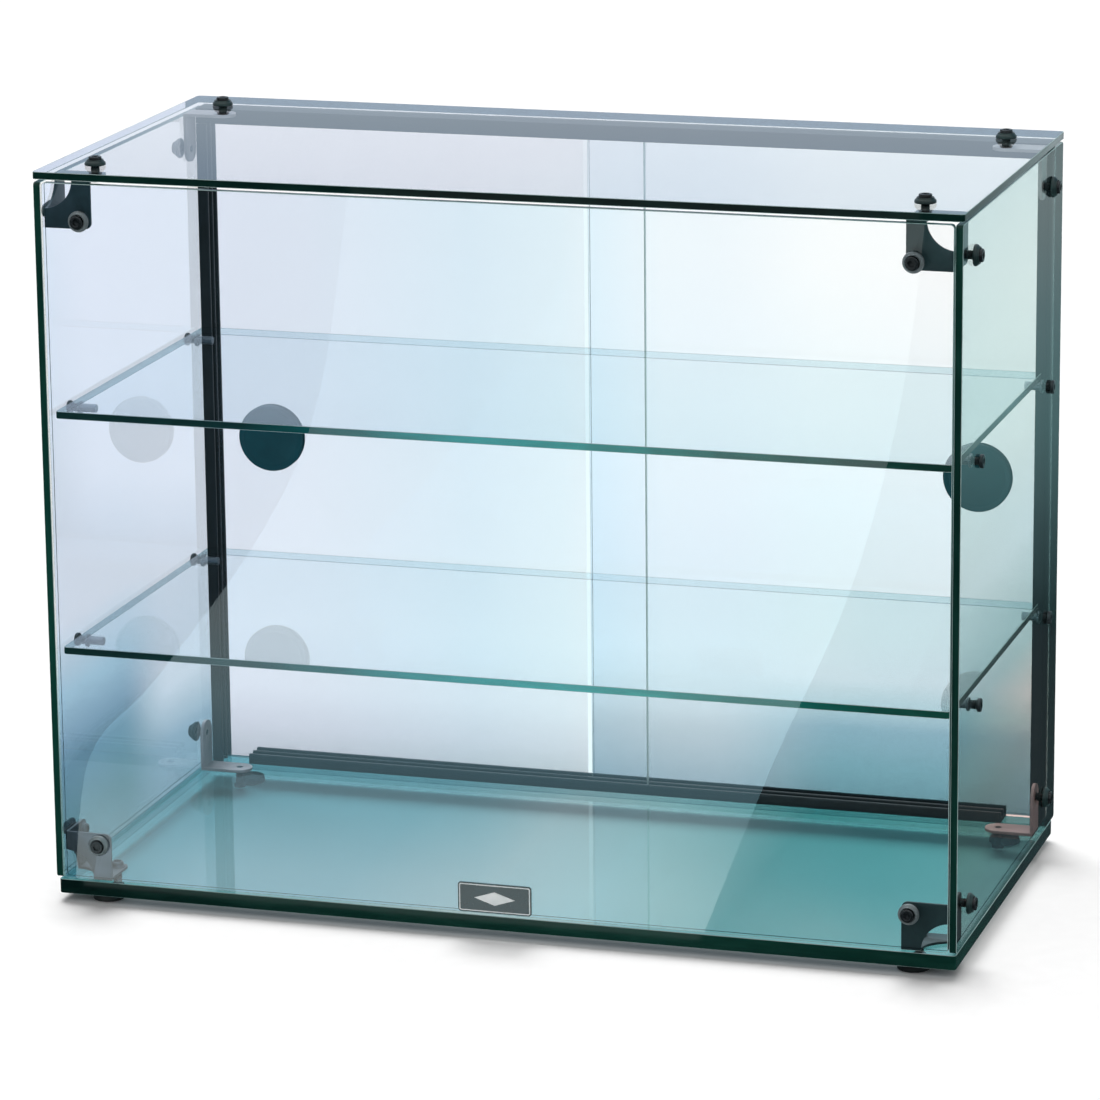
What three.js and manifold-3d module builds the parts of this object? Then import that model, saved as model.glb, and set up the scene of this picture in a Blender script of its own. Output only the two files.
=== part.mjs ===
// Tabletop glass display case: five bolted panes, two shelves and two sliding rear doors.
// Millimetres. +X is the case's right seen from the front, +Y its rear and +Z up.
// The origin lies on the table, under the middle of the whole object's box.
import * as THREE from 'three';
import * as BufferGeometryUtils from 'three/addons/utils/BufferGeometryUtils.js';
import Module from 'manifold-3d';

const wasm = await Module();
wasm.setup();

// ---------- driving dimensions ----------
const CASE_W = 750;             // top glass, left to right
const CASE_D = 372;             // top glass, front to rear
const CASE_H = 602;             // table to the upper face of the top glass
const FOOT_H = 6;
const PANE_T = 6;               // top, sides, front and shelves
const BASE_T = 12;
const DOOR_T = 5;
const PANE_GAP = 2.3;           // between the upright panes and the top or base glass
const FRONT_GAP = 1;            // between the front glass and each side glass
const TOP_OVERHANG = 0.8;       // top glass past each side glass
const BASE_INSET = 2;           // base glass inside the edge of the top glass, all round
const SEAT = 0.4;               // bedding between fittings and glass
const FIT_GAP = 0.3;            // between small parts that touch
const PANE_CORNER_R = 3;

const SHELF_SIDE_GAP = 3;
const SHELF_FRONT_GAP = 2;
const SHELF_REAR_SETBACK = 30;  // shelf's rear edge to the rear of the case

const BRACKET_LEG = 39.5;       // reach of a bracket plate from the inner corner
const BRACKET_CUT_R = 24;       // quarter-round opening round the inner corner
const BRACKET_T = 2;
const BRACKET_CORNER_R = 5;
const BOSS_R = 5;
const BOSS_H = 4.5;
const BOSS_BITE = 0.5;          // nut sunk into its plate
const SCREW_TIP = 1;            // screw's end inside the nut
const HOLE_INSET = 32;          // screw axis to the inner faces of the panes beside it
const STRIP_W = 22;             // rear L bracket
const STRIP_T = 2.5;
const STRIP_SETBACK = 44;       // rear L bracket's centre line to the rear of the case

const SHANK_R = 2.7;
const GLASS_HOLE_R = 3.4;
const BRACKET_HOLE_R = 3.1;
const WASHER_R = 8.5;
const WASHER_H = 4.5;
const CAP_R = 5.2;
const CAP_H = 2.5;
const CAP_EDGE = 0.8;
const FOOT_R = 13;
const FOOT_EDGE = 1.2;
const FOOT_TAPER = 1;
const FOOT_BEYOND = 20;         // foot's centre past the base screw, towards the edge of the base
const BASE_SCREW_HEAD_R = 5.2;
const BASE_SCREW_HEAD_H = 2.4;

const PIN_HEAD_R = 5.5;
const PIN_HEAD_H = 3;
const PIN_SHANK_R = 2.6;
const PIN_FLANGE_R = 5.5;
const PIN_FLANGE_H = 2;
const PIN_PEG_R = 3.5;
const PIN_PEG_L = 13;
const PIN_FRONT_INSET = 66;     // pin axis to the front of the case
const PIN_REAR_INSET = 38;      // pin axis to the rear of the case

const TRACK_D = 24;             // front to rear, both tracks and both posts
const GROOVE_W = 6.6;
const RIB_W = (TRACK_D - 2 * GROOVE_W) / 3;
const BOTTOM_TRACK_H = 9;
const BOTTOM_TRACK_FLOOR = 3.5;
const TOP_TRACK_H = 13;
const TOP_TRACK_FLOOR = 2.5;
const TRACK_END_GAP = 34;       // bottom track's ends to the side glass, left open for cleaning
const POST_W = 9;
const POST_WEB = 3;
const RIB_CHAMFER = 0.8;

const DOOR_OVERLAP = 52;
const DOOR_EDGE_GAP = 0.6;      // door edge to the floor of a post's groove
const DOOR_TOP_ENGAGE = 4;      // door glass inside the top track
const PULL_R = 29;
const PULL_HOLE_R = 24.5;
const PULL_BARREL_R = 24;
const PULL_CUP_R = 22;
const PULL_FLANGE = 1.6;
const PULL_FLOOR = 1.2;
const PULL_EDGE = 0.6;
const PULL_DRAFT = 1;
const PULL_INSET = 56;          // pull's centre to the door's outer edge
const PULL_Z = 311;

const BADGE_W = 61;
const BADGE_H = 24.5;
const BADGE_T = 1.2;
const BADGE_R = 2.5;
const BADGE_LIFT = 1;           // badge above the lower edge of the front glass

const ROUND = 12;               // sides of a small turned part
const ROUND_LARGE = 32;         // sides of a finger pull
const ARC_STEPS = 5;            // steps in a bracket's rounded corner
const CORNER_STEPS = 3;         // steps in the rounded corner of a pane or the badge
const WELD = 1e-4;              // points this near are one point

// ---------- levels and faces worked out from them ----------
const SCREW_PROUD = SEAT + WASHER_H + CAP_H;
const MID_Y = SCREW_PROUD / 2;  // the front screw heads stand proud, so the case sits back
const FRONT = MID_Y - CASE_D / 2;
const REAR = MID_Y + CASE_D / 2;
const SIDE_OUT = CASE_W / 2 - TOP_OVERHANG;
const SIDE_IN = SIDE_OUT - PANE_T;
const FRONT_IN = FRONT + PANE_T;
const BASE_TOP = FOOT_H + BASE_T;
const TOP_UNDER = CASE_H - PANE_T;
const UPRIGHT_LOW = BASE_TOP + PANE_GAP;
const UPRIGHT_HIGH = TOP_UNDER - PANE_GAP;
const BAY_H = (TOP_UNDER - BASE_TOP - 2 * PANE_T) / 3;
const SHELF_LEVELS = { lower: BASE_TOP + BAY_H, upper: BASE_TOP + 2 * BAY_H + PANE_T };

const SCREW_X = SIDE_IN - HOLE_INSET;
const SCREW_Y_FRONT = FRONT_IN + HOLE_INSET;
const SCREW_Y_REAR = REAR - STRIP_SETBACK;
const SCREW_Z_LOW = BASE_TOP + HOLE_INSET;
const SCREW_Z_HIGH = TOP_UNDER - HOLE_INSET;

const PIN_Y = { front: FRONT + PIN_FRONT_INSET, rear: REAR - PIN_REAR_INSET };
const PIN_DROP = FIT_GAP + PIN_PEG_R;

const TRACK_REAR = REAR - BASE_INSET;
const TRACK_FRONT = TRACK_REAR - TRACK_D;
const GROOVE_Y = {
  inner: TRACK_FRONT + RIB_W + GROOVE_W / 2,
  outer: TRACK_REAR - RIB_W - GROOVE_W / 2,
};
const DOOR_LOW = BASE_TOP + SEAT + BOTTOM_TRACK_FLOOR + FIT_GAP;
const TOP_TRACK_LOW = TOP_UNDER - SEAT - TOP_TRACK_H;
const DOOR_HIGH = TOP_TRACK_LOW + DOOR_TOP_ENGAGE;
const DOOR_OUT = SIDE_IN - SEAT - POST_WEB - DOOR_EDGE_GAP;
const DOOR_W = DOOR_OUT + DOOR_OVERLAP / 2;
const PULL_X = DOOR_OUT - PULL_INSET;

const SIDES = { left: -1, right: 1 };
const group = new THREE.Group();

// ---------- materials ----------
function finish(color, roughness, metalness, extra = {}) {
  return new THREE.MeshStandardMaterial({ color, roughness, metalness, ...extra });
}

const clear = { transparent: true, opacity: 0.35 };
const paneGlass = () => finish(0xc8e4e4, 0.04, 0, clear);
const shelfGlass = () => finish(0x8fd0c4, 0.04, 0, clear);
const darkSteel = () => finish(0x14343a, 0.4, 0.6);
const brightSteel = () => finish(0xa8a4a6, 0.3, 0.9);
const blackPlastic = () => finish(0x121a1c, 0.55, 0);
const pullPlastic = () => finish(0x14383a, 0.35, 0);
const rubber = () => finish(0x0e1412, 0.85, 0);
const badgePlastic = () => finish(0x0d2d34, 0.3, 0);

// ---------- helpers ----------
function add(name, geometry, material, x = 0, y = 0, z = 0) {
  const mesh = new THREE.Mesh(geometry, material);
  mesh.name = name;
  mesh.position.set(x, y, z);
  group.add(mesh);
  return mesh;
}

function roundedRect(w, h, r) {
  const shape = new THREE.Shape();
  const [a, b] = [w / 2 - r, h / 2 - r];
  shape.absarc(a, b, r, 0, Math.PI / 2);
  shape.absarc(-a, b, r, Math.PI / 2, Math.PI);
  shape.absarc(-a, -b, r, Math.PI, 1.5 * Math.PI);
  shape.absarc(a, -b, r, 1.5 * Math.PI, 2 * Math.PI);
  shape.closePath();
  return shape;
}

function circle(x, y, r, sides) {
  const points = [];
  for (let i = 0; i < sides; i += 1) {
    const a = (2 * Math.PI * i) / sides;
    points.push(new THREE.Vector2(x + r * Math.cos(a), y + r * Math.sin(a)));
  }
  return new THREE.Path(points);
}

function extrude(shape, depth, steps = ARC_STEPS) {
  return new THREE.ExtrudeGeometry(shape, { depth, bevelEnabled: false, curveSegments: steps });
}

// A flat pane in local XY, its thickness along Z about 0; a hole is [x, y, radius, sides].
function pane(w, h, t, holes = []) {
  const shape = roundedRect(w, h, PANE_CORNER_R);
  for (const [x, y, r, sides] of holes) shape.holes.push(circle(x, y, r, sides));
  return extrude(shape, t, CORNER_STEPS).translate(0, 0, -t / 2);
}

// Local X, Y, Z become the world's X, Z, -Y: a pane that faces the front.
function facingFront(geometry) {
  return geometry.rotateX(Math.PI / 2);
}

// Local X, Y, Z become the world's Y, Z, X: a pane that faces the side.
function facingSide(geometry) {
  return geometry.rotateX(Math.PI / 2).rotateZ(Math.PI / 2);
}

// Turned about local Z; a profile point is [radius, z] and starts and ends on the axis.
function turned(profile, sides = ROUND) {
  const points = profile.map(([r, z]) => new THREE.Vector2(r, z));
  return new THREE.LatheGeometry(points, sides).rotateX(Math.PI / 2);
}

function toSolid(geometry) {
  const bare = geometry.clone();
  bare.deleteAttribute('normal');
  bare.deleteAttribute('uv');
  const merged = BufferGeometryUtils.mergeVertices(bare, WELD);
  const vertProperties = new Float32Array(merged.attributes.position.array);
  const triVerts = new Uint32Array(merged.index.array);
  return new wasm.Manifold(new wasm.Mesh({ numProp: 3, vertProperties, triVerts }));
}

function fromSolid(solid) {
  const mesh = solid.getMesh();
  const geometry = new THREE.BufferGeometry();
  geometry.setAttribute('position', new THREE.BufferAttribute(mesh.vertProperties, 3));
  geometry.setIndex(new THREE.BufferAttribute(mesh.triVerts, 1));
  return geometry;
}

function join(geometries) {
  const solids = geometries.map(toSolid);
  return fromSolid(solids.reduce((whole, next) => whole.add(next)));
}

// Mirrors a geometry by signs, keeping its faces pointing out.
function mirrored(geometry, sx, sy, sz) {
  const copy = geometry.clone().scale(sx, sy, sz);
  if (sx * sy * sz > 0) return copy;
  const index = copy.index.array;
  for (let i = 0; i < index.length; i += 3) {
    [index[i + 1], index[i + 2]] = [index[i + 2], index[i + 1]];
  }
  return copy;
}

function mirroredIndexed(geometry, sx, sy, sz) {
  return mirrored(BufferGeometryUtils.mergeVertices(geometry), sx, sy, sz);
}

// ---------- glass ----------
function topGlass() {
  const holes = [];
  for (const side of Object.values(SIDES)) {
    holes.push([side * SCREW_X, SCREW_Y_FRONT - MID_Y, GLASS_HOLE_R, ROUND]);
    holes.push([side * SCREW_X, SCREW_Y_REAR - MID_Y, GLASS_HOLE_R, ROUND]);
  }
  const geometry = pane(CASE_W, CASE_D, PANE_T, holes);
  add('top_glass', geometry, paneGlass(), 0, MID_Y, CASE_H - PANE_T / 2);
}

function baseGlass() {
  const holes = [];
  for (const side of Object.values(SIDES)) {
    holes.push([side * SCREW_X, SCREW_Y_FRONT - MID_Y, GLASS_HOLE_R, ROUND]);
    holes.push([side * SCREW_X, SCREW_Y_REAR - MID_Y, GLASS_HOLE_R, ROUND]);
  }
  const geometry = pane(CASE_W - 2 * BASE_INSET, CASE_D - 2 * BASE_INSET, BASE_T, holes);
  add('base_glass', geometry, paneGlass(), 0, MID_Y, FOOT_H + BASE_T / 2);
}

function sideGlass(name, side) {
  const mid = (UPRIGHT_LOW + UPRIGHT_HIGH) / 2;
  const holes = [];
  for (const y of [SCREW_Y_FRONT, SCREW_Y_REAR]) {
    for (const z of [SCREW_Z_LOW, SCREW_Z_HIGH]) holes.push([y - MID_Y, z - mid, GLASS_HOLE_R, ROUND]);
  }
  for (const y of Object.values(PIN_Y)) {
    for (const level of Object.values(SHELF_LEVELS)) {
      holes.push([y - MID_Y, level - PIN_DROP - mid, GLASS_HOLE_R, ROUND]);
    }
  }
  const geometry = facingSide(pane(CASE_D, UPRIGHT_HIGH - UPRIGHT_LOW, PANE_T, holes));
  add(`${name}_side_glass`, geometry, paneGlass(), side * (SIDE_OUT - PANE_T / 2), MID_Y, mid);
}

function frontGlass() {
  const mid = (UPRIGHT_LOW + UPRIGHT_HIGH) / 2;
  const holes = [];
  for (const side of Object.values(SIDES)) {
    for (const z of [SCREW_Z_LOW, SCREW_Z_HIGH]) {
      holes.push([side * SCREW_X, z - mid, GLASS_HOLE_R, ROUND]);
    }
  }
  const width = 2 * (SIDE_IN - FRONT_GAP);
  const geometry = facingFront(pane(width, UPRIGHT_HIGH - UPRIGHT_LOW, PANE_T, holes));
  add('front_glass', geometry, paneGlass(), 0, FRONT + PANE_T / 2, mid);
}

function shelf(name, level) {
  const front = FRONT_IN + SHELF_FRONT_GAP;
  const rear = REAR - SHELF_REAR_SETBACK;
  const geometry = pane(2 * (SIDE_IN - SHELF_SIDE_GAP), rear - front, PANE_T);
  add(`${name}_shelf`, geometry, shelfGlass(), 0, (front + rear) / 2, level + PANE_T / 2);
}

function doorGlass(name, side, grooveY) {
  const mid = (DOOR_LOW + DOOR_HIGH) / 2;
  const x = side * (DOOR_OUT - DOOR_W / 2);
  const hole = [side * PULL_X - x, PULL_Z - mid, PULL_HOLE_R, ROUND_LARGE];
  const geometry = facingFront(pane(DOOR_W, DOOR_HIGH - DOOR_LOW, DOOR_T, [hole]));
  add(`${name}_door_glass`, geometry, paneGlass(), x, grooveY, mid);
}

// ---------- brackets ----------
// One plate of the three-way bracket in local XY, from the inner corner at 0, 0.
function bracketPlate() {
  const shape = new THREE.Shape();
  const leg = BRACKET_LEG;
  const start = Math.acos(SEAT / BRACKET_CUT_R);
  shape.moveTo(BRACKET_CUT_R * Math.sin(start), SEAT);
  shape.lineTo(leg, SEAT);
  shape.absarc(leg - BRACKET_CORNER_R, leg - BRACKET_CORNER_R, BRACKET_CORNER_R, 0, Math.PI / 2);
  shape.lineTo(SEAT, leg);
  shape.absarc(0, 0, BRACKET_CUT_R, start, Math.PI / 2 - start, true);
  shape.closePath();
  shape.holes.push(circle(HOLE_INSET, HOLE_INSET, BRACKET_HOLE_R, ROUND));
  return extrude(shape, BRACKET_T).translate(0, 0, SEAT);
}

// The nut fixed to a plate's inner face, in the same local frame.
function bracketBoss() {
  const shape = new THREE.Shape(circle(0, 0, BOSS_R, ROUND).getPoints());
  shape.holes.push(circle(0, 0, BRACKET_HOLE_R, ROUND));
  const foot = SEAT + BRACKET_T - BOSS_BITE;
  return extrude(shape, BOSS_H + BOSS_BITE).translate(HOLE_INSET, HOLE_INSET, foot);
}

// Three plates and their nuts round a corner that opens towards +X, +Y and +Z.
function cornerBracketGeometry() {
  const turn = (geometry, times) => {
    for (let i = 0; i < times; i += 1) geometry.rotateY(Math.PI / 2).rotateX(Math.PI / 2);
    return geometry;
  };
  const pieces = [0, 1, 2].flatMap((times) => [
    turn(bracketPlate(), times),
    turn(bracketBoss(), times),
  ]);
  return join(pieces);
}

function stripLeg() {
  const half = STRIP_W / 2;
  const shape = new THREE.Shape();
  shape.moveTo(SEAT, -half);
  shape.lineTo(HOLE_INSET, -half);
  shape.absarc(HOLE_INSET, 0, half, -Math.PI / 2, Math.PI / 2);
  shape.lineTo(SEAT, half);
  shape.closePath();
  shape.holes.push(circle(HOLE_INSET, 0, BRACKET_HOLE_R, ROUND));
  return extrude(shape, STRIP_T).translate(0, 0, SEAT);
}

// A flat leg along X and an upright leg along Z, their inner corner towards +X and +Z.
function stripBracketGeometry() {
  const upright = stripLeg().rotateX(Math.PI).rotateY(-Math.PI / 2);
  return join([stripLeg(), upright]);
}

function brackets() {
  const corner = cornerBracketGeometry();
  const strip = stripBracketGeometry();
  for (const [sideName, side] of Object.entries(SIDES)) {
    for (const [levelName, z, up] of [['bottom', BASE_TOP, 1], ['top', TOP_UNDER, -1]]) {
      const front = mirrored(corner, -side, 1, up);
      add(`front_${levelName}_${sideName}_bracket`, front, darkSteel(), side * SIDE_IN, FRONT_IN, z);
      const rear = mirrored(strip, -side, 1, up);
      add(`rear_${levelName}_${sideName}_bracket`, rear, brightSteel(), side * SIDE_IN, SCREW_Y_REAR, z);
    }
  }
}

// ---------- screws, feet and pins ----------
// Local +Z points out of the glass, and z = 0 is the outer face of the glass.
function screwGeometry(reach) {
  return turned([
    [0, -reach],
    [SHANK_R, -reach],
    [SHANK_R, SEAT],
    [WASHER_R, SEAT],
    [WASHER_R, SEAT + WASHER_H],
    [CAP_R, SEAT + WASHER_H],
    [CAP_R, SCREW_PROUD - CAP_EDGE],
    [CAP_R - CAP_EDGE, SCREW_PROUD],
    [0, SCREW_PROUD],
  ]);
}

function screws() {
  const cornerReach = PANE_T + SEAT + BRACKET_T + BOSS_H - SCREW_TIP;
  const stripReach = PANE_T + SEAT + STRIP_T - FIT_GAP;
  const places = [['front', SCREW_Y_FRONT, cornerReach], ['rear', SCREW_Y_REAR, stripReach]];
  for (const [sideName, side] of Object.entries(SIDES)) {
    for (const [endName, y, reach] of places) {
      const top = screwGeometry(reach);
      add(`${endName}_${sideName}_top_screw`, top, darkSteel(), side * SCREW_X, y, CASE_H);
      for (const [levelName, z] of [['lower', SCREW_Z_LOW], ['upper', SCREW_Z_HIGH]]) {
        const across = screwGeometry(reach).rotateY((side * Math.PI) / 2);
        add(`${endName}_${sideName}_${levelName}_side_screw`, across, darkSteel(), side * SIDE_OUT, y, z);
      }
    }
    for (const [levelName, z] of [['lower', SCREW_Z_LOW], ['upper', SCREW_Z_HIGH]]) {
      const ahead = screwGeometry(cornerReach).rotateX(Math.PI / 2);
      add(`${sideName}_${levelName}_front_screw`, ahead, darkSteel(), side * SCREW_X, FRONT, z);
    }
  }
}

function footGeometry() {
  return turned([
    [0, 0],
    [FOOT_R - FOOT_EDGE, 0],
    [FOOT_R, FOOT_EDGE],
    [FOOT_R - FOOT_TAPER, FOOT_H - FIT_GAP],
    [0, FOOT_H - FIT_GAP],
  ], 2 * ROUND);
}

function baseScrewGeometry(top) {
  const seat = FOOT_H - FIT_GAP;
  return turned([
    [0, seat - BASE_SCREW_HEAD_H],
    [BASE_SCREW_HEAD_R, seat - BASE_SCREW_HEAD_H],
    [BASE_SCREW_HEAD_R, seat],
    [SHANK_R, seat],
    [SHANK_R, top],
    [0, top],
  ]);
}

function feet() {
  const cornerTop = BASE_TOP + SEAT + BRACKET_T + BOSS_H - SCREW_TIP;
  const stripTop = BASE_TOP + SEAT + STRIP_T - FIT_GAP;
  const footOut = MID_Y - SCREW_Y_FRONT + FOOT_BEYOND;
  const places = [
    ['front', SCREW_Y_FRONT, MID_Y - footOut, cornerTop],
    ['rear', SCREW_Y_REAR, MID_Y + footOut, stripTop],
  ];
  for (const [sideName, side] of Object.entries(SIDES)) {
    for (const [endName, screwY, footY, top] of places) {
      const screw = baseScrewGeometry(top);
      add(`${endName}_${sideName}_foot`, footGeometry(), rubber(), side * SCREW_X, footY, 0);
      add(`${endName}_${sideName}_base_screw`, screw, darkSteel(), side * SCREW_X, screwY, 0);
    }
  }
}

// Local +Z points out of the case, and z = 0 is the outer face of the side glass.
function pinGeometry() {
  const inner = -PANE_T - FIT_GAP;
  return turned([
    [0, inner - PIN_FLANGE_H - PIN_PEG_L],
    [PIN_PEG_R, inner - PIN_FLANGE_H - PIN_PEG_L],
    [PIN_PEG_R, inner - PIN_FLANGE_H],
    [PIN_FLANGE_R, inner - PIN_FLANGE_H],
    [PIN_FLANGE_R, inner],
    [PIN_SHANK_R, inner],
    [PIN_SHANK_R, FIT_GAP],
    [PIN_HEAD_R, FIT_GAP],
    [PIN_HEAD_R, FIT_GAP + PIN_HEAD_H - CAP_EDGE],
    [PIN_HEAD_R - CAP_EDGE, FIT_GAP + PIN_HEAD_H],
    [0, FIT_GAP + PIN_HEAD_H],
  ]);
}

function shelfPins() {
  for (const [sideName, side] of Object.entries(SIDES)) {
    for (const [levelName, level] of Object.entries(SHELF_LEVELS)) {
      for (const [endName, y] of Object.entries(PIN_Y)) {
        const pin = pinGeometry().rotateY((side * Math.PI) / 2);
        const name = `${levelName}_${endName}_${sideName}_shelf_pin`;
        add(name, pin, brightSteel(), side * SIDE_OUT, y, level - PIN_DROP);
      }
    }
  }
}

// ---------- tracks and posts ----------
// Twin-groove section in local XY: X from the front face to the rear face, grooves open to +Y.
function trackSection(height, floor) {
  const shape = new THREE.Shape();
  const c = RIB_CHAMFER;
  shape.moveTo(TRACK_D, 0);
  for (const rib of [2, 1, 0]) {
    const low = rib * (RIB_W + GROOVE_W);
    const high = low + RIB_W;
    if (rib < 2) shape.lineTo(high, floor);
    shape.lineTo(high, height - c);
    shape.lineTo(high - c, height);
    shape.lineTo(low + c, height);
    shape.lineTo(low, height - c);
    if (rib > 0) shape.lineTo(low, floor);
  }
  shape.lineTo(0, 0);
  shape.closePath();
  return shape;
}

function tracks() {
  const bottomL = 2 * (SIDE_IN - TRACK_END_GAP);
  const bottom = extrude(trackSection(BOTTOM_TRACK_H, BOTTOM_TRACK_FLOOR), bottomL);
  bottom.translate(0, 0, -bottomL / 2).rotateX(Math.PI / 2).rotateZ(Math.PI / 2);
  add('bottom_track', bottom, blackPlastic(), 0, TRACK_FRONT, BASE_TOP + SEAT);

  const topL = 2 * (SIDE_IN - SEAT);
  const top = extrude(trackSection(TOP_TRACK_H, TOP_TRACK_FLOOR), topL);
  top.translate(0, 0, -topL / 2).rotateX(Math.PI / 2).rotateZ(Math.PI / 2);
  add('top_track', mirroredIndexed(top, 1, 1, -1), blackPlastic(), 0, TRACK_FRONT, TOP_UNDER - SEAT);
}

function posts() {
  const low = BASE_TOP + SEAT;
  const high = TOP_TRACK_LOW - SEAT;
  for (const [sideName, side] of Object.entries(SIDES)) {
    const post = extrude(trackSection(POST_W, POST_WEB), high - low);
    post.rotateZ(Math.PI / 2);
    const placed = mirroredIndexed(post, side, 1, 1);
    add(`${sideName}_post`, placed, blackPlastic(), side * (SIDE_IN - SEAT), TRACK_FRONT, low);
  }
}

// ---------- door pulls and badge ----------
// Local +Z points to the rear of the case, and z = 0 is the middle of the door glass.
function pullCupGeometry() {
  const face = DOOR_T / 2 + FIT_GAP;
  return turned([
    [0, -DOOR_T / 2],
    [PULL_BARREL_R, -DOOR_T / 2],
    [PULL_BARREL_R, face],
    [PULL_R, face],
    [PULL_R - PULL_EDGE, face + PULL_FLANGE],
    [PULL_CUP_R, face + PULL_FLANGE],
    [PULL_CUP_R - PULL_DRAFT, PULL_FLOOR - DOOR_T / 2],
    [0, PULL_FLOOR - DOOR_T / 2],
  ], ROUND_LARGE);
}

function pullCoverGeometry() {
  const face = -DOOR_T / 2 - FIT_GAP;
  return turned([
    [0, face - PULL_FLANGE],
    [PULL_R - PULL_EDGE, face - PULL_FLANGE],
    [PULL_R, face],
    [0, face],
  ], ROUND_LARGE);
}

function doors() {
  const places = [['left', SIDES.left, GROOVE_Y.inner], ['right', SIDES.right, GROOVE_Y.outer]];
  for (const [name, side, grooveY] of places) {
    doorGlass(name, side, grooveY);
    const cup = pullCupGeometry().rotateX(-Math.PI / 2);
    add(`${name}_pull_cup`, cup, pullPlastic(), side * PULL_X, grooveY, PULL_Z);
    const cover = pullCoverGeometry().rotateX(-Math.PI / 2);
    add(`${name}_pull_cover`, cover, pullPlastic(), side * PULL_X, grooveY, PULL_Z);
  }
}

function badge() {
  const plate = facingFront(extrude(roundedRect(BADGE_W, BADGE_H, BADGE_R), BADGE_T, CORNER_STEPS));
  const z = UPRIGHT_LOW + BADGE_LIFT + BADGE_H / 2;
  add('badge_plate', plate, badgePlastic(), 0, FRONT - SEAT, z);
}

// ---------- assembly ----------
topGlass();
baseGlass();
frontGlass();
for (const [name, side] of Object.entries(SIDES)) sideGlass(name, side);
for (const [name, level] of Object.entries(SHELF_LEVELS)) shelf(name, level);
brackets();
screws();
feet();
shelfPins();
tracks();
posts();
doors();
badge();

export default group;
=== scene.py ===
import math

import bmesh
import bpy
from mathutils import Matrix, Vector
from mathutils.geometry import tessellate_polygon


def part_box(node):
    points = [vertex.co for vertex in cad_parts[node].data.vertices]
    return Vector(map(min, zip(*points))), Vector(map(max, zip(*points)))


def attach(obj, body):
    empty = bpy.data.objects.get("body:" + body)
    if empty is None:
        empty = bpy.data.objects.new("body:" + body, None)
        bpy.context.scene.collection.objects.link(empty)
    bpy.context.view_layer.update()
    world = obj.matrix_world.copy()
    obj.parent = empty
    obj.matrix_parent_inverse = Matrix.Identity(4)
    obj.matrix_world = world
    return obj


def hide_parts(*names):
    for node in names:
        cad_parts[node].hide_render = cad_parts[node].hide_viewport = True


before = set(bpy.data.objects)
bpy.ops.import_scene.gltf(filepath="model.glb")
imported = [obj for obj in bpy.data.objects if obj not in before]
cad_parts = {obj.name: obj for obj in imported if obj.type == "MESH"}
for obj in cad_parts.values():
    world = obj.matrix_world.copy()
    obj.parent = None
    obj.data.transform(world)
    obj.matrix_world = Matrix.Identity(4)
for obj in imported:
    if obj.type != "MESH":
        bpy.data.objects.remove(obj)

MM = 0.001
PANE_LOW, PANE_HIGH = 0.02, 0.60
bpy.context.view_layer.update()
SIDES = {"left": -1, "right": 1}
LEVELS = ("lower", "upper")
ENDS = ("front", "rear")
X, Y, Z = 0, 1, 2


# ---------- camera ----------
CAMERA_PLACE = (1.211, -3.975, 1.343)
CAMERA_ANGLES = (17.04, 14.43, -0.59)
CAMERA_LENS = 172.5
CAMERA_SENSOR = 36.0


def make_camera():
    azimuth, elevation, roll = (math.radians(a) for a in CAMERA_ANGLES)
    back = Vector((
        math.sin(azimuth) * math.cos(elevation),
        -math.cos(azimuth) * math.cos(elevation),
        math.sin(elevation),
    ))
    level = Vector((math.cos(azimuth), math.sin(azimuth), 0.0))
    rise = back.cross(level)
    right = math.cos(roll) * level + math.sin(roll) * rise
    up = -math.sin(roll) * level + math.cos(roll) * rise
    data = bpy.data.cameras.new("camera")
    data.lens = CAMERA_LENS
    data.sensor_width = CAMERA_SENSOR
    data.clip_end = 200.0
    camera = bpy.data.objects.new("camera", data)
    bpy.context.scene.collection.objects.link(camera)
    turn = Matrix((right, up, back)).transposed().to_4x4()
    camera.matrix_world = Matrix.Translation(CAMERA_PLACE) @ turn
    bpy.context.scene.camera = camera


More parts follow.
